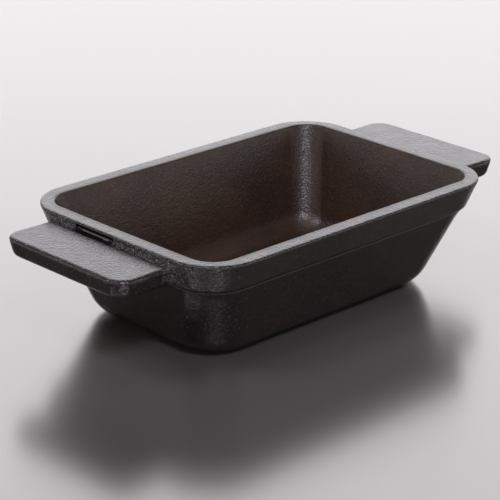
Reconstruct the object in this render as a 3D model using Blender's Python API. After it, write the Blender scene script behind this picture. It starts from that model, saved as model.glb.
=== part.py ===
"""Rectangular cast iron casserole dish with a tab handle at each short end.

The dish is one casting: tapered walls, a thicker band round the rim, and two flat handles that
run out of the band. It stands on its flat base, centred on the origin, with its length along X.
Sizes below are in millimetres and are turned into metres when the mesh is made.
"""

import math

import bmesh
import bpy

for leftover in list(bpy.data.objects):
    bpy.data.objects.remove(leftover)

METRES = 0.001

# Dish
RIM_LENGTH = 166.2
RIM_WIDTH = 110.8
DISH_HEIGHT = 47.3
CORNER_RADIUS = 21.3  # of the rim, seen from above
WALL_CORNER_RADIUS = 18.0  # of the wall under the band
WALL_DRAFT = 0.356  # how far the outside leans in for each millimetre down
FOOT_RADIUS = 12.0

# Rim band, which ends where the fillet under the handles ends
BAND_DRAFT = 0.4
BAND_EDGE_RADIUS = 0.6  # of its lower edge
BAND_STEP = 0.8  # how far the wall steps in under the band
BAND_STEP_DROP = 0.1
WALL_TOP_FLARE = 0.25  # how far the wall's top widens again to meet the band
WALL_TOP_FLARE_DROP = 5.0
CORNER_FLARE = 4.0  # how much more its corner's radius shrinks there
RIM_THICKNESS = 7.0
RIM_EDGE_RADIUS = 0.8

# Inside
INNER_CORNER_RADIUS = 11.4
INNER_DRAFT = 0.32
FLOOR_THICKNESS = 5.0
FLOOR_FILLET = 10.0

# Handles
HANDLE_REACH = 25.6  # beyond the rim's end face
HANDLE_WIDTH = 68.2  # where it leaves the rim
HANDLE_FLARE = 0.00094  # how much wider it gets, as a share, for each millimetre out
HANDLE_DROP = 2.9  # from the rim's top to the handle's top
HANDLE_THICKNESS = 8.8  # where it leaves the rim
HANDLE_RISE = 0.8  # of its underside, from there to its tip
HANDLE_DRAFT = 0.17  # how far its edge leans in for each millimetre down
HANDLE_CORNER_RADIUS = 7.8
HANDLE_TOP_EDGE = 1.8
HANDLE_LOWER_EDGE = 2.4
ROOT_FILLET = 4.5  # in plan, between the handle's side and the dish's corner
TOP_FILLET = 1.7  # between the handle's top and the band
UNDER_FILLET = 0.6  # between its underside and the band

# Notch at the root of one handle: a bite out of the band's face, over a hollow in the handle's top
NOTCH_LENGTH = 20.8
NOTCH_MIDDLE = 9.3  # off the dish's centre line
BITE_DEPTH = 1.0
BITE_ROOF = 1.0  # of the rim left above the bite
BITE_END_RADIUS = 0.9
LEDGE_HIGH = 1.1  # the bite's floor, above the handle's top, where it is highest
LEDGE_LOW = 0.4  # and where it is lowest, at the end near the centre line
HOLLOW_REACH = 2.2  # out from the band's face
HOLLOW_DEPTH = 1.6

# Steps of the mesh
CORNER_STEPS = 12
EDGE_STEPS = 4
FILLET_STEPS = 3
FOOT_STEPS = 6
ROOT_STEPS = 4
FRONT_STEPS = 2
HOLLOW_STEPS = 12

HANDLE_TOP = DISH_HEIGHT - HANDLE_DROP
HANDLE_UNDERSIDE = HANDLE_TOP - HANDLE_THICKNESS
BAND_BOTTOM = HANDLE_UNDERSIDE - UNDER_FILLET
QUARTER_TURN = math.pi / 2
SHARP_ANGLE = math.radians(30)
MERGE_DISTANCE = 1e-6  # in metres

# The rim's rounded edge turns past upright, until it meets the band's face, which leans in below it.
BAND_LEAN = math.atan(BAND_DRAFT)
FACE_TOP = DISH_HEIGHT - RIM_EDGE_RADIUS * (1 + math.sin(BAND_LEAN))
JOINT_FILLET = min(TOP_FILLET, FACE_TOP - HANDLE_TOP)
FACE_BOTTOM = BAND_BOTTOM + BAND_EDGE_RADIUS * (1 - math.sin(BAND_LEAN))


def spread(start, end, steps):
    """Evenly spaced values from start to end, both included."""
    return [start + (end - start) * step / steps for step in range(steps + 1)]


def around(centre, radius, angle):
    """The point at an angle on a circle in plan."""
    return centre[0] + radius * math.cos(angle), centre[1] + radius * math.sin(angle)


class Wall:
    """Plan of the wall at one height: a rounded rectangle, and where a handle's side meets it."""

    def __init__(self, inset, corner, handle_inset=0.0):
        self.half_length = RIM_LENGTH / 2 - inset
        self.half_width = RIM_WIDTH / 2 - inset
        self.corner = corner
        self.corner_centre = (self.half_length - corner, self.half_width - corner)
        self.handle_side = HANDLE_WIDTH / 2 - handle_inset
        self.handle_tip = RIM_LENGTH / 2 + HANDLE_REACH - handle_inset

    def root(self):
        """Centre of the root fillet, and the angle of the corner at which it begins.

        It touches the handle's side, and the corner's circle or, beside a slim handle, the end face.
        """
        side = self.handle_side + ROOT_FILLET
        across = max(0.0, side - self.corner_centre[1])
        along = math.sqrt((self.corner + ROOT_FILLET) ** 2 - across**2)
        return (self.corner_centre[0] + along, side), math.atan2(across, along)

    def root_turn(self, reach):
        """Angle along the root fillet at which it stands the given distance off the wall."""
        centre, seam = self.root()
        apart = self.corner + ROOT_FILLET
        cosine = (apart**2 + ROOT_FILLET**2 - (self.corner + reach) ** 2) / (2 * apart * ROOT_FILLET)
        turn = math.pi + seam + math.acos(min(1.0, cosine))
        if centre[1] + ROOT_FILLET * math.sin(turn) < self.corner_centre[1]:
            turn = 2 * math.pi - math.acos((self.half_length + reach - centre[0]) / ROOT_FILLET)
        return turn

    def side_and_corner(self, seam):
        """From the middle of the long side to the angle of the corner where the root begins."""
        angles = spread(QUARTER_TURN, seam, CORNER_STEPS)
        return [(0.0, self.half_width)] + [around(self.corner_centre, self.corner, a) for a in angles]

    def side_to_root(self, reach):
        """The same, and on along the root fillet until it stands the given distance off the wall."""
        centre, seam = self.root()
        turns = spread(math.pi + seam, self.root_turn(reach), ROOT_STEPS)
        return self.side_and_corner(seam) + [around(centre, ROOT_FILLET, turn) for turn in turns]

    def front(self, start, reach):
        """Along the short end to its middle, a given distance off the wall."""
        points = []
        for y in spread(start[1], 0.0, FRONT_STEPS)[1:]:
            x = self.half_length + reach
            rise = y - self.corner_centre[1]
            if rise > 0:
                x = self.corner_centre[0] + math.sqrt((self.corner + reach) ** 2 - rise**2)
            points.append((x, y))
        return points


def face_inset(z):
    """How far the band's face is in from the rim's widest line, at a height below the rounded edge."""
    return RIM_EDGE_RADIUS * (1 - math.cos(BAND_LEAN)) + BAND_DRAFT * (FACE_TOP - z)


def band_inset(z):
    """The same, and round the band's lower edge."""
    if z >= FACE_BOTTOM:
        return face_inset(z)
    below = BAND_BOTTOM + BAND_EDGE_RADIUS - z
    middle = face_inset(FACE_BOTTOM) + BAND_EDGE_RADIUS * math.cos(BAND_LEAN)
    return middle - math.sqrt(max(0.0, BAND_EDGE_RADIUS**2 - below**2))


def wall_inset(z):
    """The same for the wall under the band."""
    return face_inset(BAND_BOTTOM) + BAND_STEP + WALL_DRAFT * (BAND_BOTTOM - z)


def band_plan(z):
    """The band and the handle at a height. The handle's edge leans in between its two faces."""
    drop = min(max(HANDLE_TOP - z, 0.0), HANDLE_THICKNESS)
    return Wall(band_inset(z), CORNER_RADIUS - band_inset(z), HANDLE_DRAFT * drop)


SEAM = band_plan(HANDLE_TOP).root()[1]
UNDERSIDE_START = band_plan(HANDLE_UNDERSIDE).half_length


def plain_ring(inset, corner, z):
    """A quarter of a rounded rectangle with no handle."""
    wall = Wall(inset, corner)
    points = wall.side_and_corner(SEAM)
    points += [points[-1]] * (ROOT_STEPS + 1)
    points += wall.front(points[-1], 0.0)
    return [(x, y, z) for x, y in points]


def fillet_ring(z, reach):
    """A quarter of the band, with the fillet that carries the handle standing off its end."""
    wall = band_plan(z)
    points = wall.side_to_root(reach)
    points += wall.front(points[-1], reach)
    return [(x, y, z) for x, y in points]


def handle_ring(z, reach, inset):
    """A quarter of the band and the whole edge of the handle, drawn in by an inset."""
    wall = band_plan(z)
    points = wall.side_to_root(reach)
    centre = wall.root()[0]
    leave = wall.root_turn(reach)
    for share in spread(0.0, 1.0, ROOT_STEPS)[1:]:
        turn = leave + (3 * QUARTER_TURN - leave) * share
        points.append(around(centre, ROOT_FILLET + inset * share, turn))
    tip_centre = (wall.handle_tip - HANDLE_CORNER_RADIUS, wall.handle_side - HANDLE_CORNER_RADIUS)
    for angle in spread(QUARTER_TURN, 0.0, EDGE_STEPS + 1):
        points.append(around(tip_centre, HANDLE_CORNER_RADIUS - inset, angle))
    points.append((wall.handle_tip - inset, 0.0))
    return [(x, y, z) for x, y in points]


def bowl_arc(base, radius, draft, inset_at):
    """Profile, as insets and heights, of the round from a level base to a wall that leans out."""
    lean = math.atan(draft)
    top = base + radius - radius * math.sin(lean)
    middle = inset_at(top) + radius * math.cos(lean)
    profile = []
    for angle in spread(0.0, QUARTER_TURN - lean, FOOT_STEPS):
        profile.append((middle - radius * math.sin(angle), base + radius - radius * math.cos(angle)))
    return profile


def inside_inset(z):
    """How far the inside of the wall is in from the rim's widest line."""
    return RIM_THICKNESS + INNER_DRAFT * (DISH_HEIGHT - z)


def inside_rings():
    """From the floor's edge up the inside to the rim's inner edge."""
    rings = []
    for inset, z in bowl_arc(FLOOR_THICKNESS, FLOOR_FILLET, INNER_DRAFT, inside_inset):
        corner = INNER_CORNER_RADIUS - (inset - inside_inset(z))
        rings.append(plain_ring(inset, corner, z))
    lean = math.atan(INNER_DRAFT)
    wall_top = DISH_HEIGHT - RIM_EDGE_RADIUS * (1 - math.sin(lean))
    middle = inside_inset(wall_top) - RIM_EDGE_RADIUS * math.cos(lean)
    for angle in spread(lean, QUARTER_TURN, EDGE_STEPS):
        inset = middle + RIM_EDGE_RADIUS * math.cos(angle)
        corner = INNER_CORNER_RADIUS + inside_inset(wall_top) - inset
        z = DISH_HEIGHT - RIM_EDGE_RADIUS * (1 - math.sin(angle))
        rings.append(plain_ring(inset, corner, z))
    return rings


def rim_rings():
    """Over the rim's outer edge to the band's face."""
    rings = []
    for angle in spread(QUARTER_TURN, -BAND_LEAN, EDGE_STEPS + 1):
        inset = RIM_EDGE_RADIUS * (1 - math.cos(angle))
        z = DISH_HEIGHT - RIM_EDGE_RADIUS * (1 - math.sin(angle))
        rings.append(plain_ring(inset, CORNER_RADIUS - inset, z))
    return rings


def joint_rings():
    """Down the small fillet between the band's face and the handle's top."""
    rings = []
    for angle in spread(0.0, QUARTER_TURN, FILLET_STEPS):
        z = HANDLE_TOP + JOINT_FILLET * (1 - math.sin(angle))
        rings.append(fillet_ring(z, JOINT_FILLET * (1 - math.cos(angle))))
    return rings


def edge_rings():
    """Round the handle's edge, from its top to its underside."""
    levels = []
    for angle in spread(0.0, QUARTER_TURN, EDGE_STEPS):
        drop = HANDLE_TOP_EDGE * (1 - math.cos(angle))
        levels.append((HANDLE_TOP - drop, HANDLE_TOP_EDGE * (1 - math.sin(angle))))
    for angle in spread(QUARTER_TURN, 0.0, EDGE_STEPS):
        rise = HANDLE_LOWER_EDGE * (1 - math.cos(angle))
        levels.append((HANDLE_UNDERSIDE + rise, HANDLE_LOWER_EDGE * (1 - math.sin(angle))))
    rings = []
    for z, inset in levels:
        share = (HANDLE_TOP - z) / HANDLE_THICKNESS
        rings.append(handle_ring(z, JOINT_FILLET + (UNDER_FILLET - JOINT_FILLET) * share, inset))
    return rings


def lower_rings():
    """From the handle's underside down the wall to the base."""
    rings = []
    for angle in spread(QUARTER_TURN, 0.0, FILLET_STEPS):
        z = HANDLE_UNDERSIDE - UNDER_FILLET * (1 - math.sin(angle))
        rings.append(fillet_ring(z, UNDER_FILLET * (1 - math.cos(angle))))

    for share in spread(1.0, 0.0, FILLET_STEPS):
        z = BAND_BOTTOM - BAND_STEP_DROP - WALL_TOP_FLARE_DROP * (1 - share)
        flare = WALL_TOP_FLARE * share**2
        corner = WALL_CORNER_RADIUS - CORNER_FLARE * flare
        rings.append(plain_ring(wall_inset(z) - flare, corner, z))
    for inset, z in reversed(bowl_arc(0.0, FOOT_RADIUS, WALL_DRAFT, wall_inset)):
        rings.append(plain_ring(inset, WALL_CORNER_RADIUS - (inset - wall_inset(z)), z))
    return rings


def flared(point):
    """The point in metres, moved where the handle widens and gets thinner towards its tip."""
    x, y, z = point
    beyond = max(0.0, x - RIM_LENGTH / 2)
    depth = min(1.0, max(0.0, (HANDLE_TOP - z) / HANDLE_THICKNESS))
    out = max(0.0, x - UNDERSIDE_START) / (RIM_LENGTH / 2 + HANDLE_REACH - UNDERSIDE_START)
    rise = HANDLE_RISE * depth * out
    return x * METRES, y * (1 + HANDLE_FLARE * beyond) * METRES, (z + rise) * METRES


def add_face(bm, points):
    """One face with corners of its own, which are merged with its neighbours' later."""
    bm.faces.new([bm.verts.new(flared(point)) for point in points])


def add_strip(bm, rings):
    """Quads between rings that have the same number of points."""
    for upper, lower in zip(rings, rings[1:]):
        for k in range(len(upper) - 1):
            add_face(bm, [upper[k], upper[k + 1], lower[k + 1], lower[k]])


def quarter_mesh():
    """The quarter of the casting at +X and +Y, open where it meets its mirror images."""
    inside = inside_rings()
    upper = inside + rim_rings() + joint_rings()
    edge = edge_rings()
    lower = lower_rings()

    bm = bmesh.new()
    add_strip(bm, upper)
    add_strip(bm, edge)
    add_strip(bm, lower)

    # The four flat faces: floor, base, and the handle's top and underside, which the rings leave
    # at the root's last point.
    leave = len(Wall(0.0, CORNER_RADIUS).side_to_root(0.0)) - 1
    add_face(bm, [(0.0, 0.0, FLOOR_THICKNESS)] + inside[0][::-1])
    add_face(bm, [(0.0, 0.0, 0.0)] + lower[-1])
    add_face(bm, upper[-1][leave:] + edge[0][:leave:-1])
    add_face(bm, edge[-1][leave + 1 :] + lower[0][: leave - 1 : -1])
    bmesh.ops.remove_doubles(bm, verts=bm.verts, dist=MERGE_DISTANCE)
    bmesh.ops.dissolve_degenerate(bm, edges=bm.edges, dist=MERGE_DISTANCE)

    mesh = bpy.data.meshes.new("casserole_dish")
    bm.to_mesh(mesh)
    bm.free()
    return mesh


def cast_iron():
    """Dark seasoned iron, a little glossy."""
    material = bpy.data.materials.new("seasoned_cast_iron")
    material.use_nodes = True
    shader = material.node_tree.nodes["Principled BSDF"]
    shader.inputs["Base Color"].default_value = (0.02, 0.019, 0.019, 1.0)
    shader.inputs["Metallic"].default_value = 0.3
    shader.inputs["Roughness"].default_value = 0.38
    return material


def prism(name, outline, floor, roof):
    """A cutter with an outline in plan and a level top. Its floor's height is a function of y."""
    bm = bmesh.new()
    low = [bm.verts.new((x * METRES, y * METRES, floor(y) * METRES)) for x, y in outline]
    high = [bm.verts.new((x * METRES, y * METRES, roof * METRES)) for x, y in outline]
    bm.faces.new(low)
    bm.faces.new(high[::-1])
    for k in range(len(outline)):
        bm.faces.new([low[k - 1], high[k - 1], high[k], low[k]])
    bmesh.ops.recalc_face_normals(bm, faces=bm.faces)
    mesh = bpy.data.meshes.new(name)
    bm.to_mesh(mesh)
    bm.free()

    cutter = bpy.data.objects.new(name, mesh)
    bpy.context.scene.collection.objects.link(cutter)
    cutter.hide_render = True
    cutter.display_type = "WIRE"
    return cutter


def ledge(y):
    """Height of the bite's floor, which slopes along the notch."""
    share = (y - NOTCH_MIDDLE) / NOTCH_LENGTH + 0.5
    return HANDLE_TOP + LEDGE_LOW + (LEDGE_HIGH - LEDGE_LOW) * share


def bite_cutter():
    """A block with its two inner corners rounded, which reaches out past the rim."""
    back = BITE_DEPTH - band_plan(HANDLE_TOP).half_length
    half = NOTCH_LENGTH / 2
    outline = []
    for side in (-1, 1):
        centre = (back - BITE_END_RADIUS, NOTCH_MIDDLE + side * (half - BITE_END_RADIUS))
        for angle in spread(min(side, 0) * QUARTER_TURN, max(side, 0) * QUARTER_TURN, EDGE_STEPS):
            outline.append(around(centre, BITE_END_RADIUS, angle))
    outline.append((-RIM_LENGTH / 2 - RIM_EDGE_RADIUS, NOTCH_MIDDLE + half))
    outline.append((-RIM_LENGTH / 2 - RIM_EDGE_RADIUS, NOTCH_MIDDLE - half))
    return prism("bite_cutter", outline, ledge, DISH_HEIGHT - BITE_ROOF)


def hollow_cutter():
    """A slice of a round, whose straight side lies along the band's face."""
    face = band_plan(HANDLE_TOP).half_length
    half = NOTCH_LENGTH / 2
    radius = (half**2 + HOLLOW_REACH**2) / (2 * HOLLOW_REACH)
    swing = math.asin(half / radius)
    centre = (radius - HOLLOW_REACH - face, NOTCH_MIDDLE)
    outline = [around(centre, radius, math.pi + turn) for turn in spread(-swing, swing, HOLLOW_STEPS)]
    return prism("hollow_cutter", outline, lambda y: HANDLE_TOP - HOLLOW_DEPTH, HANDLE_TOP + LEDGE_HIGH)


def casserole_dish():
    """The casting: one quarter, mirrored to the other three, with the notch cut out of it."""
    mesh = quarter_mesh()
    mesh.materials.append(cast_iron())
    mesh.shade_smooth()
    mesh.set_sharp_from_angle(angle=SHARP_ANGLE)
    dish = bpy.data.objects.new("casserole_dish", mesh)
    bpy.context.scene.collection.objects.link(dish)

    mirror = dish.modifiers.new("other_quarters", "MIRROR")
    mirror.use_axis = (True, True, False)
    mirror.merge_threshold = MERGE_DISTANCE
    for cutter in (bite_cutter(), hollow_cutter()):
        cut = dish.modifiers.new(cutter.name, "BOOLEAN")
        cut.operation = "DIFFERENCE"
        cut.solver = "EXACT"
        cut.object = cutter


casserole_dish()
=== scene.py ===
"""Looks of the rectangular cast iron casserole dish.

The casting is modelled again with finer rounds than its solid has, and its skin gets the slight
waves and the grain of cast iron. Sizes are in millimetres and are turned into metres when a mesh
is made. The places and sizes of the camera, the lamps and the floor are in metres.
"""

import math

import bmesh
import bpy
from mathutils import Matrix, Vector, noise


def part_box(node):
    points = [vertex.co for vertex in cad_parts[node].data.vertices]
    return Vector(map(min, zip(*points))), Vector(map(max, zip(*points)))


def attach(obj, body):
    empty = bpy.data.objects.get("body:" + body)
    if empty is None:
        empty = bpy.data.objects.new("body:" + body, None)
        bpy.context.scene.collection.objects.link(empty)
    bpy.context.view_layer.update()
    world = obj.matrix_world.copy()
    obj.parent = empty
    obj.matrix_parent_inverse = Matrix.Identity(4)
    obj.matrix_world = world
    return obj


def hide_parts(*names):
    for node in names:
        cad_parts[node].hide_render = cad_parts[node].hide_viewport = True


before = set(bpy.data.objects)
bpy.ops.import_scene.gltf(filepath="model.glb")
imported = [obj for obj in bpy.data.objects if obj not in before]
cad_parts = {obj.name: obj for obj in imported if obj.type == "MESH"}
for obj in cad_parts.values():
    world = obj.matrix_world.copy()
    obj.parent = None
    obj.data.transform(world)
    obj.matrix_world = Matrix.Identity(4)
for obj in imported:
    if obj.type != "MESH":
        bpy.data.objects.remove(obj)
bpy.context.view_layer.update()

LOWEST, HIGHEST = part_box("casserole_dish")
METRES = 0.001  # of one millimetre
QUARTER_TURN = math.pi / 2
WELD = 1e-6  # corners nearer than this, in metres, are one

# Handles
HANDLE_REACH = 25.6  # beyond the rim's end face
HANDLE_WIDTH = 68.2  # where it leaves the rim
HANDLE_FLARE = 0.00094  # how much wider it gets, as a share, for each millimetre out
HANDLE_DROP = 2.9  # from the rim's top to the handle's top
HANDLE_THICKNESS = 8.8  # at its root
HANDLE_RISE = 0.8  # of its underside, out to its tip
HANDLE_DRAFT = 0.17  # how far its edge leans in for each millimetre down
HANDLE_CORNER_RADIUS = 7.8
HANDLE_TOP_EDGE = 1.8
HANDLE_LOWER_EDGE = 2.4
ROOT_FILLET = 4.5  # in plan, between the handle's side and the dish's corner
TOP_FILLET = 1.7  # between the handle's top and the band
UNDER_FILLET = 0.6  # between its underside and the band

# Dish, whose length, width and height come from the solid's box
RIM_WIDTH = (HIGHEST.y - LOWEST.y) / METRES
DISH_HEIGHT = HIGHEST.z / METRES
RIM_LENGTH = 2 * (HIGHEST.x / METRES + HANDLE_DRAFT * HANDLE_TOP_EDGE - HANDLE_REACH)
CORNER_RADIUS = 21.3
WALL_CORNER_RADIUS = 18.0
WALL_DRAFT = 0.356
FOOT_RADIUS = 12.0
BAND_DRAFT = 0.4
BAND_EDGE_RADIUS = 0.6  # of its lower edge
BAND_STEP = 0.8
BAND_STEP_DROP = 0.1
WALL_TOP_FLARE = 0.25  # how far the wall's top widens again to meet the band
WALL_TOP_FLARE_DROP = 5.0
CORNER_FLARE = 4.0  # how much more its corner's radius shrinks there
RIM_THICKNESS = 7.0
RIM_EDGE_RADIUS = 0.8
INNER_CORNER_RADIUS = 11.4
INNER_DRAFT = 0.32
FLOOR_THICKNESS = 5.0
FLOOR_FILLET = 10.0

# Notch at the root of one handle: a bite out of the band's face, over a hollow in the handle's top.
# The bite is a little deeper and lower than the solid's, or the skin would close it.
NOTCH_LENGTH = 20.8
NOTCH_MIDDLE = 9.3  # off the dish's centre line
BITE_DEPTH = 1.4
BITE_ROOF = 1.0  # of the rim left above the bite
BITE_END_RADIUS = 0.9
LEDGE_HIGH = 0.6  # the bite's floor, above the handle's top, where it is highest
LEDGE_LOW = 0.3  # and where it is lowest, at the end of the notch with the lowest y
HOLLOW_REACH = 2.2  # out from the band's face
HOLLOW_DEPTH = 1.6

HANDLE_TOP = DISH_HEIGHT - HANDLE_DROP
HANDLE_UNDERSIDE = HANDLE_TOP - HANDLE_THICKNESS
BAND_BOTTOM = HANDLE_UNDERSIDE - UNDER_FILLET
BAND_LEAN = math.atan(BAND_DRAFT)
FACE_TOP = DISH_HEIGHT - RIM_EDGE_RADIUS * (1 + math.sin(BAND_LEAN))
FACE_BOTTOM = BAND_BOTTOM + BAND_EDGE_RADIUS * (1 - math.sin(BAND_LEAN))

# Steps of the mesh that is skinned over afterwards
CORNER_STEPS = 36
EDGE_STEPS = 8
FILLET_STEPS = 6
FOOT_STEPS = 18
ROOT_STEPS = 10
FRONT_STEPS = 2
HOLLOW_STEPS = 24

# Skin of the casting
SKIN_STEP = 0.5  # size of the skin's faces
WAVE_LENGTH = 11.0
WAVE_DEPTH = 0.12
GRAIN_LENGTH = 2.6
GRAIN_DEPTH = 0.05

# Zones of the skin that look different
SKIN_SLACK = 0.3  # how far the skin may lie off a height that is compared with
LEVEL_FACING = (0.9, 0.98)  # upward part of the normal, from a slope to level ground
JOINT_ZONE = (-6.0, TOP_FILLET + 2.0)  # coarse strip, out from the rim's end face
JOINT_FACE_START = -3.0  # the same where the strip is widest, over the handle's top
JOINT_ROOT_ZONE = (-1.0, ROOT_FILLET + 1.5)  # past the handle's side
JOINT_ROOT_SHARE = 0.7
JOINT_NOTCH_GAP = 1.0  # from the strip to the notch
LEDGE_ZONE = (0.6, 1.4)  # outer edge of the ledge, in from the rim's end face
LEDGE_FACING = 0.2  # least upward part of its normal
LEDGE_SINK = 0.1  # how far the skin's edge lies under the ledge's
LEDGE_SLACK = 0.45  # how far the skin may lie off that
# Painted shade: within these zones, in the notch and under the band's lower edge, faces get a
# near-black, barely reflecting material
SHADE_START = -4.0  # in the notch, out from the rim's end face
SHADE_ASIDE = 0.8  # past the notch's ends
SHADE_TOP = DISH_HEIGHT - 0.5
CREVICE_ZONE = (-0.35, 0.4)  # up from the band's lower edge
CREVICE_FACING = -0.2  # most upward part of its normal
CREVICE_END_GAP = 4.0  # from the crevice to the rim's end face
CREVICE_HANDLE_GAP = 1.0  # and to the handle's side
SHADED_CORNERS = 3  # in a crevice, at least, of a painted-shade face's four
# Painted highlight: lighter colour on the notch's ledge, on a line along the wall's top and on the
# band
HIGHLIGHT_FACING = 0.5  # most upward part of the normal of a side with painted highlight
HIGHLIGHT_INSIDE = 0.3  # highest share of the inside that still counts as outside
HIGHLIGHT_LINE = (-1.6, -0.6)  # up from the band's lower edge
HIGHLIGHT_LINE_SHARE = 0.4
HIGHLIGHT_BAND_START = 0.4  # up from the same edge, and on to the rim
HIGHLIGHT_BAND_SHARE = 0.1
UPWARD = Vector((0.0, 0.0, 1.0))


def spread(start, end, steps):
    """Evenly spaced values from start to end, both included."""
    return [start + (end - start) * step / steps for step in range(steps + 1)]


def around(centre, radius, angle):
    """The point at an angle on a circle in plan."""
    return centre[0] + radius * math.cos(angle), centre[1] + radius * math.sin(angle)


class Wall:
    """Plan of the wall at one height: a rounded rectangle, and where a handle's side meets it."""

    def __init__(self, inset, corner, handle_inset=0.0):
        self.half_length = RIM_LENGTH / 2 - inset
        self.half_width = RIM_WIDTH / 2 - inset
        self.corner = corner
        self.corner_centre = (self.half_length - corner, self.half_width - corner)
        self.handle_side = HANDLE_WIDTH / 2 - handle_inset
        self.handle_tip = RIM_LENGTH / 2 + HANDLE_REACH - handle_inset

    def root(self):
        """Centre of the root fillet, and the angle of the corner at which it begins."""
        side = self.handle_side + ROOT_FILLET
        across = side - self.corner_centre[1]
        along = math.sqrt((self.corner + ROOT_FILLET) ** 2 - across**2)
        return (self.corner_centre[0] + along, side), math.atan2(across, along)

    def root_turn(self, reach):
        """Angle along the root fillet at which it stands the given distance off the wall."""
        centre, seam = self.root()
        apart = self.corner + ROOT_FILLET
        cosine = apart**2 + ROOT_FILLET**2 - (self.corner + reach) ** 2
        cosine /= 2 * apart * ROOT_FILLET
        turn = math.pi + seam + math.acos(min(1.0, cosine))
        if centre[1] + ROOT_FILLET * math.sin(turn) < self.corner_centre[1]:
            turn = 2 * math.pi - math.acos((self.half_length + reach - centre[0]) / ROOT_FILLET)
        return turn

    def side_and_corner(self, seam):
        """From the middle of the long side to the angle of the corner where the root begins."""
        angles = spread(QUARTER_TURN, seam, CORNER_STEPS)
        corner = [around(self.corner_centre, self.corner, angle) for angle in angles]
        return [(0.0, self.half_width)] + corner

    def side_to_root(self, reach):
        """The same, and along the root fillet until it stands the given distance off the wall."""
        centre, seam = self.root()
        turns = spread(math.pi + seam, self.root_turn(reach), ROOT_STEPS)
        return self.side_and_corner(seam) + [around(centre, ROOT_FILLET, turn) for turn in turns]

    def front(self, start, reach):
        """Along the short end to its middle, a given distance off the wall."""
        points = []
        for y in spread(start[1], 0.0, FRONT_STEPS)[1:]:
            x = self.half_length + reach
            rise = y - self.corner_centre[1]
            if rise > 0:
                x = self.corner_centre[0] + math.sqrt((self.corner + reach) ** 2 - rise**2)
            points.append((x, y))
        return points


def face_inset(z):
    """How far the band's flat face is in from the rim's widest line, at a height."""
    return RIM_EDGE_RADIUS * (1 - math.cos(BAND_LEAN)) + BAND_DRAFT * (FACE_TOP - z)


def band_inset(z):
    """The same with the band's rounded lower edge."""
    if z >= FACE_BOTTOM:
        return face_inset(z)
    below = BAND_BOTTOM + BAND_EDGE_RADIUS - z
    middle = face_inset(FACE_BOTTOM) + BAND_EDGE_RADIUS * math.cos(BAND_LEAN)
    return middle - math.sqrt(max(0.0, BAND_EDGE_RADIUS**2 - below**2))


def wall_inset(z):
    """The same for the wall under the band."""
    return face_inset(BAND_BOTTOM) + BAND_STEP + WALL_DRAFT * (BAND_BOTTOM - z)


def inside_inset(z):
    """The same for the inside of the wall."""
    return RIM_THICKNESS + INNER_DRAFT * (DISH_HEIGHT - z)


def band_plan(z):
    """The band and the handle at a height. The handle's edge leans in between its two faces."""
    drop = min(max(HANDLE_TOP - z, 0.0), HANDLE_THICKNESS)
    return Wall(band_inset(z), CORNER_RADIUS - band_inset(z), HANDLE_DRAFT * drop)


SEAM = band_plan(HANDLE_TOP).root()[1]
UNDERSIDE_START = band_plan(HANDLE_UNDERSIDE).half_length


def plain_ring(inset, corner, z):
    """A quarter of a rounded rectangle with no handle."""
    wall = Wall(inset, corner)
    points = wall.side_and_corner(SEAM)
    points += [points[-1]] * (ROOT_STEPS + 1)
    points += wall.front(points[-1], 0.0)
    return [(x, y, z) for x, y in points]


def fillet_ring(z, reach):
    """A quarter of the band, with the fillet that carries the handle standing off its end."""
    wall = band_plan(z)
    points = wall.side_to_root(reach)
    points += wall.front(points[-1], reach)
    return [(x, y, z) for x, y in points]


def handle_ring(z, reach, inset):
    """A quarter of the band and the whole edge of the handle, drawn in by an inset."""
    wall = band_plan(z)
    points = wall.side_to_root(reach)
    centre = wall.root()[0]
    leave = wall.root_turn(reach)
    for share in spread(0.0, 1.0, ROOT_STEPS)[1:]:
        turn = leave + (3 * QUARTER_TURN - leave) * share
        points.append(around(centre, ROOT_FILLET + inset * share, turn))
    tip_centre = (wall.handle_tip - HANDLE_CORNER_RADIUS, wall.handle_side - HANDLE_CORNER_RADIUS)
    for angle in spread(QUARTER_TURN, 0.0, 2 * EDGE_STEPS):
        points.append(around(tip_centre, HANDLE_CORNER_RADIUS - inset, angle))
    points.append((wall.handle_tip - inset, 0.0))
    return [(x, y, z) for x, y in points]


def bowl_arc(base, radius, draft, inset_at):
    """Profile, as insets and heights, of the round from a level base to a wall that leans out."""
    lean = math.atan(draft)
    top = base + radius - radius * math.sin(lean)
    middle = inset_at(top) + radius * math.cos(lean)
    profile = []
    for angle in spread(0.0, QUARTER_TURN - lean, FOOT_STEPS):
        z = base + radius - radius * math.cos(angle)
        profile.append((middle - radius * math.sin(angle), z))
    return profile


def inside_rings():
    """From the floor's edge up the inside to the rim's inner edge."""
    rings = []
    for inset, z in bowl_arc(FLOOR_THICKNESS, FLOOR_FILLET, INNER_DRAFT, inside_inset):
        rings.append(plain_ring(inset, INNER_CORNER_RADIUS - (inset - inside_inset(z)), z))
    lean = math.atan(INNER_DRAFT)
    wall_top = DISH_HEIGHT - RIM_EDGE_RADIUS * (1 - math.sin(lean))
    middle = inside_inset(wall_top) - RIM_EDGE_RADIUS * math.cos(lean)
    for angle in spread(lean, QUARTER_TURN, EDGE_STEPS):
        inset = middle + RIM_EDGE_RADIUS * math.cos(angle)
        corner = INNER_CORNER_RADIUS + inside_inset(wall_top) - inset
        z = DISH_HEIGHT - RIM_EDGE_RADIUS * (1 - math.sin(angle))
        rings.append(plain_ring(inset, corner, z))
    return rings


def rim_rings():
    """Over the rim's outer edge to the band's face."""
    rings = []
    for angle in spread(QUARTER_TURN, -BAND_LEAN, 2 * EDGE_STEPS):
        inset = RIM_EDGE_RADIUS * (1 - math.cos(angle))
        z = DISH_HEIGHT - RIM_EDGE_RADIUS * (1 - math.sin(angle))
        rings.append(plain_ring(inset, CORNER_RADIUS - inset, z))
    return rings


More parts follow.
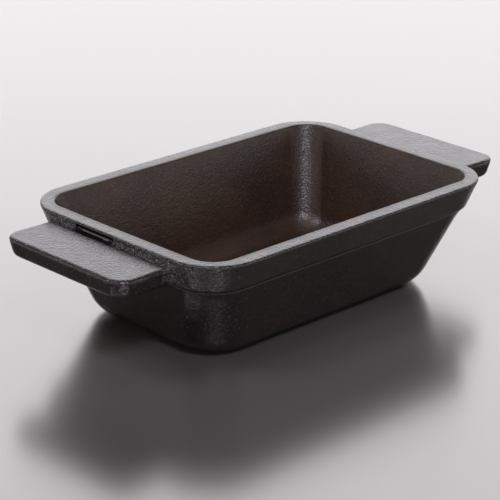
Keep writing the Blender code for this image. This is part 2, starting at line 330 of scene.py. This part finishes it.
def joint_rings():
    """Down the small fillet between the band's face and the handle's top."""
    rings = []
    for angle in spread(0.0, QUARTER_TURN, FILLET_STEPS):
        z = HANDLE_TOP + TOP_FILLET * (1 - math.sin(angle))
        rings.append(fillet_ring(z, TOP_FILLET * (1 - math.cos(angle))))
    return rings


def edge_rings():
    """Round the handle's edge, from its top to its underside."""
    levels = []
    for angle in spread(0.0, QUARTER_TURN, EDGE_STEPS):
        drop = HANDLE_TOP_EDGE * (1 - math.cos(angle))
        levels.append((HANDLE_TOP - drop, HANDLE_TOP_EDGE * (1 - math.sin(angle))))
    for angle in spread(QUARTER_TURN, 0.0, EDGE_STEPS):
        rise = HANDLE_LOWER_EDGE * (1 - math.cos(angle))
        levels.append((HANDLE_UNDERSIDE + rise, HANDLE_LOWER_EDGE * (1 - math.sin(angle))))
    rings = []
    for z, inset in levels:
        share = (HANDLE_TOP - z) / HANDLE_THICKNESS
        rings.append(handle_ring(z, TOP_FILLET + (UNDER_FILLET - TOP_FILLET) * share, inset))
    return rings


def lower_rings():
    """From the handle's underside down the wall to the base."""
    rings = []
    for angle in spread(0.0, math.pi, 2 * FILLET_STEPS):
        z = BAND_BOTTOM + UNDER_FILLET * (1 + math.cos(angle)) / 2
        rise = (z - BAND_BOTTOM) / UNDER_FILLET
        rings.append(fillet_ring(z, UNDER_FILLET * (1 - math.sqrt(max(0.0, 1 - rise**2)))))
    for share in spread(1.0, 0.0, FILLET_STEPS):
        z = BAND_BOTTOM - BAND_STEP_DROP - WALL_TOP_FLARE_DROP * (1 - share)
        flare = WALL_TOP_FLARE * share**2
        corner = WALL_CORNER_RADIUS - CORNER_FLARE * flare
        rings.append(plain_ring(wall_inset(z) - flare, corner, z))
    for inset, z in reversed(bowl_arc(0.0, FOOT_RADIUS, WALL_DRAFT, wall_inset)):
        rings.append(plain_ring(inset, WALL_CORNER_RADIUS - (inset - wall_inset(z)), z))
    return rings


def flared(point):
    """The point in metres, moved where the handle widens and gets thinner towards its tip."""
    x, y, z = point
    beyond = max(0.0, x - RIM_LENGTH / 2)
    depth = min(1.0, max(0.0, (HANDLE_TOP - z) / HANDLE_THICKNESS))
    out = max(0.0, x - UNDERSIDE_START) / (RIM_LENGTH / 2 + HANDLE_REACH - UNDERSIDE_START)
    z += HANDLE_RISE * depth * out
    return x * METRES, y * (1 + HANDLE_FLARE * beyond) * METRES, z * METRES


def add_face(bm, points):
    """One face with corners of its own, which are merged with its neighbours' later."""
    bm.faces.new([bm.verts.new(flared(point)) for point in points])


def add_strip(bm, rings):
    """Quads between rings that have the same number of points."""
    for upper, lower in zip(rings, rings[1:]):
        for k in range(len(upper) - 1):
            add_face(bm, [upper[k], upper[k + 1], lower[k + 1], lower[k]])


def quarter_mesh():
    """The quarter of the casting at +X and +Y, open where it meets its mirror images."""
    inside = inside_rings()
    upper = inside + rim_rings() + joint_rings()
    edge = edge_rings()
    lower = lower_rings()
    bm = bmesh.new()
    for rings in (upper, edge, lower):
        add_strip(bm, rings)
    leave = len(Wall(0.0, CORNER_RADIUS).side_to_root(0.0)) - 1
    add_face(bm, [(0.0, 0.0, FLOOR_THICKNESS)] + inside[0][::-1])
    add_face(bm, [(0.0, 0.0, 0.0)] + lower[-1])
    add_face(bm, upper[-1][leave:] + edge[0][:leave:-1])
    add_face(bm, edge[-1][leave + 1 :] + lower[0][: leave - 1 : -1])
    bmesh.ops.remove_doubles(bm, verts=bm.verts, dist=WELD)
    bmesh.ops.dissolve_degenerate(bm, edges=bm.edges, dist=WELD)
    mesh = bpy.data.meshes.new("quarter")
    bm.to_mesh(mesh)
    bm.free()
    return mesh


def placed(name, mesh):
    """A new object for a mesh."""
    piece = bpy.data.objects.new(name, mesh)
    bpy.context.scene.collection.objects.link(piece)
    return piece


def prism(name, outline, floor, roof):
    """A cutter with an outline in plan and a level top. Its floor's height is a function of y."""
    bm = bmesh.new()
    low = [bm.verts.new((x * METRES, y * METRES, floor(y) * METRES)) for x, y in outline]
    high = [bm.verts.new((x * METRES, y * METRES, roof * METRES)) for x, y in outline]
    bm.faces.new(low)
    bm.faces.new(high[::-1])
    for k in range(len(outline)):
        bm.faces.new([low[k - 1], high[k - 1], high[k], low[k]])
    bmesh.ops.recalc_face_normals(bm, faces=bm.faces)
    mesh = bpy.data.meshes.new(name)
    bm.to_mesh(mesh)
    bm.free()
    return placed(name, mesh)


def ledge(y):
    """Height of the bite's floor, which slopes along the notch."""
    share = (y - NOTCH_MIDDLE) / NOTCH_LENGTH + 0.5
    return HANDLE_TOP + LEDGE_LOW + (LEDGE_HIGH - LEDGE_LOW) * share


def bite_cutter():
    """A block with its two inner corners rounded, which reaches out past the rim."""
    back = BITE_DEPTH - band_plan(HANDLE_TOP).half_length
    half = NOTCH_LENGTH / 2
    outline = []
    for side in (-1, 1):
        centre = (back - BITE_END_RADIUS, NOTCH_MIDDLE + side * (half - BITE_END_RADIUS))
        start, end = sorted((0.0, side * QUARTER_TURN))
        for angle in spread(start, end, EDGE_STEPS):
            outline.append(around(centre, BITE_END_RADIUS, angle))
    outline.append((-RIM_LENGTH / 2 - RIM_EDGE_RADIUS, NOTCH_MIDDLE + half))
    outline.append((-RIM_LENGTH / 2 - RIM_EDGE_RADIUS, NOTCH_MIDDLE - half))
    return prism("bite_cutter", outline, ledge, DISH_HEIGHT - BITE_ROOF)


def hollow_cutter():
    """A slice of a round, whose straight side lies along the band's face."""
    face = band_plan(HANDLE_TOP).half_length
    half = NOTCH_LENGTH / 2
    radius = (half**2 + HOLLOW_REACH**2) / (2 * HOLLOW_REACH)
    swing = math.asin(half / radius)
    centre = (radius - HOLLOW_REACH - face, NOTCH_MIDDLE)
    turns = spread(-swing, swing, HOLLOW_STEPS)
    outline = [around(centre, radius, math.pi + turn) for turn in turns]
    low = HANDLE_TOP - HOLLOW_DEPTH
    return prism("hollow_cutter", outline, lambda y: low, HANDLE_TOP + LEDGE_HIGH)


def skinned_mesh():
    """The whole casting under one skin of small even faces."""
    rough = placed("rough_casting", quarter_mesh())
    mirror = rough.modifiers.new("other_quarters", "MIRROR")
    mirror.use_axis = (True, True, False)
    mirror.merge_threshold = WELD
    cutters = (bite_cutter(), hollow_cutter())
    for cutter in cutters:
        cut = rough.modifiers.new(cutter.name, "BOOLEAN")
        cut.operation = "DIFFERENCE"
        cut.object = cutter
    skin = rough.modifiers.new("skin", "REMESH")
    skin.mode = "VOXEL"
    skin.voxel_size = SKIN_STEP * METRES
    evaluated = rough.evaluated_get(bpy.context.evaluated_depsgraph_get())
    mesh = bpy.data.meshes.new_from_object(evaluated)
    for helper in (rough, *cutters):
        bpy.data.objects.remove(helper)
    return mesh


def skin_depth(place):
    """How deep the skin lies under the true surface, which its waves and grain only touch."""
    wave = noise.noise(place / WAVE_LENGTH)
    grain = noise.noise(place / GRAIN_LENGTH)
    return WAVE_DEPTH * (0.5 - 0.5 * wave) + GRAIN_DEPTH * (0.5 - 0.5 * grain)


def inside_share(place, normal):
    """One on the inside of the dish, nought outside, and between the two over the rim's top."""
    if normal.z < 0:
        return 0.0
    corner = Vector((RIM_LENGTH / 2 - CORNER_RADIUS, RIM_WIDTH / 2 - CORNER_RADIUS))
    beyond = Vector((max(0.0, abs(place.x) - corner.x), max(0.0, abs(place.y) - corner.y)))
    if beyond.length > 0:
        inset = CORNER_RADIUS - beyond.length
    else:
        inset = CORNER_RADIUS + min(corner.x - abs(place.x), corner.y - abs(place.y))
    middle = inside_inset(place.z) - RIM_THICKNESS / 2
    return min(1.0, max(0.0, (inset - middle) / RIM_THICKNESS + 0.5))


def ground_share(place, normal):
    """One on the rim's top and the handles' tops, which are smoother than the rest."""
    if place.z < HANDLE_TOP - HANDLE_TOP_EDGE:
        return 0.0
    slope, level = LEVEL_FACING
    return min(1.0, max(0.0, (normal.z - slope) / (level - slope)))


def joint_share(place, normal):
    """One on the coarse strip between the rim's edge and each handle's top, less at its roots; the
    strip is coarser and is lightened in specks as a painted highlight.
    """
    out = abs(place.x) - RIM_LENGTH / 2
    aside = abs(place.y) - HANDLE_WIDTH / 2
    root_start, root_end = JOINT_ROOT_ZONE
    if not JOINT_ZONE[0] < out < JOINT_ZONE[1] or aside > root_end or place.z < BAND_BOTTOM:
        return 0.0
    if place.x < 0 and abs(place.y - NOTCH_MIDDLE) < NOTCH_LENGTH / 2 + JOINT_NOTCH_GAP:
        return 0.0
    below = min(1.0, max(0.0, (DISH_HEIGHT - place.z) / RIM_EDGE_RADIUS))
    if aside > root_start:
        return JOINT_ROOT_SHARE * below
    over_handle = JOINT_FACE_START < out < TOP_FILLET and place.z > HANDLE_TOP - SKIN_SLACK
    return below if over_handle else 0.0


def on_ledge(place, normal):
    """Whether a point is on the upper edge of the notch's ledge."""
    along = abs(place.y - NOTCH_MIDDLE) < NOTCH_LENGTH / 2
    across = LEDGE_ZONE[0] < place.x + RIM_LENGTH / 2 < LEDGE_ZONE[1]
    near = abs(place.z - ledge(place.y) + LEDGE_SINK) < LEDGE_SLACK
    return along and across and near and normal.z > LEDGE_FACING


def in_notch(place, normal):
    """Whether a point is in the notch and not on its ledge."""
    out = -place.x - RIM_LENGTH / 2
    aside = abs(place.y - NOTCH_MIDDLE) - NOTCH_LENGTH / 2
    if not SHADE_START < out < HOLLOW_REACH or aside > SHADE_ASIDE or place.z > SHADE_TOP:
        return False
    if aside > 0.0:
        return place.z > HANDLE_TOP + SKIN_SLACK
    return place.z > HANDLE_TOP - HOLLOW_DEPTH - SKIN_SLACK and not on_ledge(place, normal)


def in_crevice(place, normal):
    """Whether a point gets painted shade: in the notch and under the band's lower edge."""
    if in_notch(place, normal):
        return True
    beside = abs(place.x) < RIM_LENGTH / 2 - CREVICE_END_GAP
    beside = beside or abs(place.y) > HANDLE_WIDTH / 2 + CREVICE_HANDLE_GAP
    near = CREVICE_ZONE[0] < place.z - BAND_BOTTOM < CREVICE_ZONE[1]
    return beside and near and normal.z < CREVICE_FACING


def painted_highlight_share(place, normal):
    """Painted highlight: one on the notch's ledge, less on a line along the wall's top and on the
    band.
    """
    if on_ledge(place, normal):
        return 1.0
    if normal.z > HIGHLIGHT_FACING or inside_share(place, UPWARD) > HIGHLIGHT_INSIDE:
        return 0.0
    if HIGHLIGHT_LINE[0] < place.z - BAND_BOTTOM < HIGHLIGHT_LINE[1]:
        return HIGHLIGHT_LINE_SHARE
    beside = abs(place.x) < RIM_LENGTH / 2 or abs(place.y) > HANDLE_WIDTH / 2
    return HIGHLIGHT_BAND_SHARE if beside and place.z > BAND_BOTTOM + HIGHLIGHT_BAND_START else 0.0


SHARES = {
    "inside": inside_share,
    "ground": ground_share,
    "joint": joint_share,
    "painted_highlight": painted_highlight_share,
}


def casting():
    """The dish with the uneven skin of cast iron, with painted shade in its crevices."""
    mesh = skinned_mesh()
    places = [vertex.co / METRES for vertex in mesh.vertices]
    normals = [vertex.normal.copy() for vertex in mesh.vertices]
    for name, share in SHARES.items():
        data = mesh.attributes.new(name, "FLOAT", "POINT").data
        data.foreach_set("value", [share(*point) for point in zip(places, normals)])
    dark = [in_crevice(*point) for point in zip(places, normals)]
    # Faces in the crevices take the second material, which is painted shade
    for polygon in mesh.polygons:
        in_painted_shade = sum(dark[corner] for corner in polygon.vertices) >= SHADED_CORNERS
        polygon.material_index = int(in_painted_shade)
    for vertex, place, normal in zip(mesh.vertices, places, normals):
        vertex.co -= normal * skin_depth(place) * METRES
    mesh.shade_smooth()
    mesh.materials.append(seasoned_iron())
    mesh.materials.append(painted_shade_iron())
    piece = placed("iron_casting", mesh)
    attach(piece, "root")
    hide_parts("casserole_dish")


class Nodes:
    """A material's node tree, with short calls for the nodes used here."""

    def __init__(self, name):
        self.material = bpy.data.materials.new(name)
        self.material.use_nodes = True
        self.tree = self.material.node_tree
        self.shader = self.tree.nodes["Principled BSDF"]
        self.place = self.tree.nodes.new("ShaderNodeTexCoord").outputs["Object"]

    def set(self, **sockets):
        for name, value in sockets.items():
            self.shader.inputs[name.replace("_", " ")].default_value = value

    def link(self, source, socket):
        self.tree.links.new(source, socket)

    def noise(self, length, detail=2.0, roughness=0.5):
        """Noise whose features are about as long as said, in millimetres."""
        node = self.tree.nodes.new("ShaderNodeTexNoise")
        node.inputs["Scale"].default_value = 1.0 / (length * METRES)
        node.inputs["Detail"].default_value = detail
        node.inputs["Roughness"].default_value = roughness
        self.link(self.place, node.inputs["Vector"])
        return node.outputs["Fac"]

    def remap(self, source, low, high, to_low=0.0, to_high=1.0):
        node = self.tree.nodes.new("ShaderNodeMapRange")
        ends = {"From Min": low, "From Max": high, "To Min": to_low, "To Max": to_high}
        for name, value in ends.items():
            node.inputs[name].default_value = value
        self.link(source, node.inputs["Value"])
        return node.outputs["Result"]

    def math(self, operation, first, second):
        node = self.tree.nodes.new("ShaderNodeMath")
        node.operation = operation
        for socket, value in zip(node.inputs, (first, second)):
            if isinstance(value, float):
                socket.default_value = value
            else:
                self.link(value, socket)
        return node.outputs["Value"]

    def mix(self, share, first, second):
        """A colour between two, each a socket or a colour."""
        node = self.tree.nodes.new("ShaderNodeMix")
        node.data_type = "RGBA"
        self.link(share, node.inputs[0])
        for socket, value in zip((node.inputs[6], node.inputs[7]), (first, second)):
            if isinstance(value, tuple):
                socket.default_value = value
            else:
                self.link(value, socket)
        return node.outputs[2]

    def attribute(self, name):
        node = self.tree.nodes.new("ShaderNodeAttribute")
        node.attribute_name = name
        return node.outputs["Fac"]

    def bump(self, height, distance, strength, under=None):
        """A bump of a depth in millimetres, over another bump if there is one."""
        node = self.tree.nodes.new("ShaderNodeBump")
        node.inputs["Distance"].default_value = distance * METRES
        self.link(strength, node.inputs["Strength"])
        self.link(height, node.inputs["Height"])
        if under is not None:
            self.link(under, node.inputs["Normal"])
        return node.outputs["Normal"]


# Colours, in pairs where they vary in patches
OUTER_IRON = (0.007, 0.0042, 0.005, 1.0), (0.0115, 0.0062, 0.0052, 1.0)
# Inside: brown of baked-on oil, made redder and darker as painted reflection of food and painted
# shade
INNER_IRON_AND_REFLECTION = (0.018, 0.007, 0.0033, 1.0), (0.032, 0.0135, 0.0062, 1.0)
# Painted shade for the crevices, near black
PAINTED_SHADE = (0.002, 0.0018, 0.0018, 1.0), (0.006, 0.005, 0.005, 1.0)
# Lighter specks: wear on pointed edges, and a painted highlight on the joint strip and the handles'
# roots
EDGE_WEAR_AND_HIGHLIGHT_COLOUR = (0.085, 0.075, 0.075, 1.0)
DUST_COLOUR = (0.04, 0.036, 0.035, 1.0)
# Painted highlight
PAINTED_HIGHLIGHT_COLOUR = (0.1, 0.088, 0.088, 1.0)
FLOOR_COLOUR = (0.305, 0.295, 0.283, 1.0)

# Lengths of the patterns and depths of the bumps, in millimetres
PATCH_LENGTH = 26.0
SPECK_LENGTH = 1.6
DUST_LENGTH = 0.75
DULL_LENGTH = 7.0
PEBBLE_LENGTH = 2.4
PEBBLE_DEPTH = 0.4
FINE_LENGTH = 0.85
FINE_DEPTH = 1.05
# Patterns of the painted shade
SHADE_PATCH_LENGTH = 1.5
SHADE_WAVE_LENGTH = 3.0
SHADE_GRAIN_LENGTH = 0.8
SHADE_GRAIN_DEPTH = 1.0


def seasoned_iron():
    """Black seasoned iron: baked-on oil over fine pebbles, browner and duller inside, where the
    brown is partly the oil's tinge and partly painted reflection of food and painted shade.
    """
    nodes = Nodes("seasoned_iron")
    patches = nodes.remap(nodes.noise(PATCH_LENGTH, 3.0), 0.35, 0.65)
    specks = nodes.remap(nodes.noise(SPECK_LENGTH, 4.0, 0.6), 0.4, 0.7)
    dust = nodes.remap(nodes.noise(DUST_LENGTH, 1.0), 0.6, 0.74)
    inside = nodes.remap(nodes.attribute("inside"), 0.55, 0.95)
    joint = nodes.attribute("joint")
    pointed = nodes.tree.nodes.new("ShaderNodeNewGeometry").outputs["Pointiness"]
    # Pointed edges get lighter specks as wear; the joint strip and the roots get them as a painted
    # highlight
    edge = nodes.math("MAXIMUM", nodes.remap(pointed, 0.52, 0.58), joint)

    colour = nodes.mix(inside, nodes.mix(patches, *OUTER_IRON), nodes.mix(patches, *INNER_IRON_AND_REFLECTION))
    colour = nodes.mix(nodes.math("MULTIPLY", edge, specks), colour, EDGE_WEAR_AND_HIGHLIGHT_COLOUR)
    colour = nodes.mix(dust, colour, DUST_COLOUR)
    # Painted highlight: lighter on the ledge's edge, on a line along the wall's top and on the band
    colour = nodes.mix(nodes.attribute("painted_highlight"), colour, PAINTED_HIGHLIGHT_COLOUR)
    nodes.link(colour, nodes.shader.inputs["Base Color"])

    dull = nodes.remap(nodes.noise(DULL_LENGTH, 4.0, 0.6), 0.3, 0.7, 0.14, 0.24)
    rough = nodes.math("ADD", dull, nodes.remap(inside, 0.0, 1.0, 0.0, 0.18))
    nodes.link(rough, nodes.shader.inputs["Roughness"])

    fine = nodes.remap(nodes.attribute("ground"), 0.0, 1.0, 0.32, 0.18)
    strength = nodes.math("ADD", fine, nodes.math("MULTIPLY", joint, 1.5))
    strength = nodes.math("MULTIPLY", strength, nodes.remap(inside, 0.0, 1.0, 1.0, 0.6))
    pebbles = nodes.bump(nodes.noise(PEBBLE_LENGTH, 1.0), PEBBLE_DEPTH, strength)
    grain = nodes.bump(nodes.noise(FINE_LENGTH, 1.0), FINE_DEPTH, strength, pebbles)
    nodes.link(grain, nodes.shader.inputs["Normal"])
    nodes.set(Metallic=0.0, IOR=1.5)
    return nodes.material


def painted_shade_iron():
    """The same iron, near black, dull and barely reflecting: painted shade in the crevices."""
    nodes = Nodes("painted_shade_iron")
    patches = nodes.remap(nodes.noise(SHADE_PATCH_LENGTH, 3.0), 0.35, 0.65)
    nodes.link(nodes.mix(patches, *PAINTED_SHADE), nodes.shader.inputs["Base Color"])
    nodes.link(nodes.remap(patches, 0.0, 1.0, 0.5, 0.7), nodes.shader.inputs["Roughness"])
    strength = nodes.remap(nodes.noise(SHADE_WAVE_LENGTH), 0.3, 0.7, 0.2, 0.4)
    grain = nodes.bump(nodes.noise(SHADE_GRAIN_LENGTH, 1.0), SHADE_GRAIN_DEPTH, strength)
    nodes.link(grain, nodes.shader.inputs["Normal"])
    nodes.set(Metallic=0.0, IOR=1.15)
    return nodes.material


def satin_floor():
    """Pale satin surface."""
    nodes = Nodes("pale_floor")
    nodes.set(Base_Color=FLOOR_COLOUR, Roughness=0.22, Metallic=0.8, IOR=1.35)
    return nodes.material


FLOOR_SIZE = 12.0


def floor():
    """A wide level sheet under the dish."""
    half = FLOOR_SIZE / 2
    corners = [(-half, -half, 0.0), (half, -half, 0.0), (half, half, 0.0), (-half, half, 0.0)]
    mesh = bpy.data.meshes.new("floor")
    mesh.from_pydata(corners, [], [(0, 1, 2, 3)])
    mesh.materials.append(satin_floor())
    piece = placed("floor", mesh)


# The photograph's view
CAMERA_PLACE = Vector((-0.56861, -0.55704, 0.33053))
CAMERA_YAW = math.radians(45.214)
CAMERA_PITCH = math.radians(21.343)
CAMERA_ROLL = math.radians(1.199)
CAMERA_LENS = 149.708
SENSOR_WIDTH = 36.0


def camera():
    """Looks down on the near corner, as the photograph does."""
    level = Vector((math.sin(CAMERA_YAW), math.cos(CAMERA_YAW), 0.0))
    forward = level * math.cos(CAMERA_PITCH) - Vector((0.0, 0.0, math.sin(CAMERA_PITCH)))
    right = Vector((math.cos(CAMERA_YAW), -math.sin(CAMERA_YAW), 0.0))
    up = right.cross(forward)
    side = right * math.cos(CAMERA_ROLL) + up * math.sin(CAMERA_ROLL)
    top = up * math.cos(CAMERA_ROLL) - right * math.sin(CAMERA_ROLL)
    data = bpy.data.cameras.new("camera")
    data.lens = CAMERA_LENS
    data.sensor_width = SENSOR_WIDTH
    eye = placed("camera", data)
    turned = Matrix((side, top, -forward)).transposed().to_4x4()
    eye.matrix_world = Matrix.Translation(CAMERA_PLACE) @ turned
    bpy.context.scene.camera = eye


# Lamps: name, place, width, height, power in watts, colour
LAMPS = (
    ("back_softbox", (1.5, 1.5, 0.95), 2.6, 1.4, 20.5, (0.965, 0.95, 1.0)),
    ("left_softbox", (-0.802, 0.276, 1.357), 0.35, 0.25, 7.5, (0.92, 0.89, 1.0)),
    ("right_softbox", (-0.578, -0.925, 1.17), 0.45, 0.25, 12.5, (0.92, 0.89, 1.0)),
    ("top_softbox", (0.0, 0.0, 2.6), 0.9, 0.9, 4.0, (1.0, 1.0, 1.0)),
)

# Room, whose walls are paler low down. Its strengths have no unit.
ROOM_COLOUR = (1.0, 0.98, 0.975, 1.0)
WALL_ZONE = (0.22, 0.42)  # height on a sphere of one metre, from the pale walls to the ceiling
CEILING_STRENGTH = 0.23
BACK_ZONE = (0.2, 0.9)  # how far a direction points backward, from the side walls to the back
SIDE_STRENGTH = 1.35
BACK_STRENGTH = 0.68
BACKWARD = (0.7071, 0.7071, 0.0)


def softbox(name, place, width, height, power, colour):
    """A rectangular lamp that faces the dish."""
    data = bpy.data.lights.new(name, "AREA")
    data.shape = "RECTANGLE"
    data.size = width
    data.size_y = height
    data.energy = power
    data.color = colour
    lamp = placed(name, data)
    lamp.location = place
    lamp.rotation_euler = (-Vector(place)).to_track_quat("-Z", "Y").to_euler()


def smooth_range(tree, zone, source):
    """A map range node that eases from one end of a zone to the other."""
    node = tree.nodes.new("ShaderNodeMapRange")
    node.interpolation_type = "SMOOTHSTEP"
    node.inputs["From Min"].default_value, node.inputs["From Max"].default_value = zone
    tree.links.new(source, node.inputs["Value"])
    return node


def lights():
    """A wide lamp behind the dish, three small ones above it, and a room that is pale low down."""
    for lamp in LAMPS:
        softbox(*lamp)
    world = bpy.data.worlds.new("room")
    world.use_nodes = True
    tree = world.node_tree
    direction = tree.nodes.new("ShaderNodeTexCoord").outputs["Generated"]
    along = tree.nodes.new("ShaderNodeVectorMath")
    along.operation = "DOT_PRODUCT"
    along.inputs[1].default_value = BACKWARD
    tree.links.new(direction, along.inputs[0])
    walls = smooth_range(tree, BACK_ZONE, along.outputs["Value"])
    walls.inputs["To Min"].default_value = SIDE_STRENGTH
    walls.inputs["To Max"].default_value = BACK_STRENGTH
    split = tree.nodes.new("ShaderNodeSeparateXYZ")
    tree.links.new(direction, split.inputs[0])
    level = smooth_range(tree, WALL_ZONE, split.outputs["Z"])
    tree.links.new(walls.outputs["Result"], level.inputs["To Min"])
    level.inputs["To Max"].default_value = CEILING_STRENGTH
    background = tree.nodes["Background"]
    background.inputs["Color"].default_value = ROOM_COLOUR
    tree.links.new(level.outputs["Result"], background.inputs["Strength"])
    bpy.context.scene.world = world


casting()
floor()
camera()
lights()
bpy.context.scene.view_settings.view_transform = "Standard"
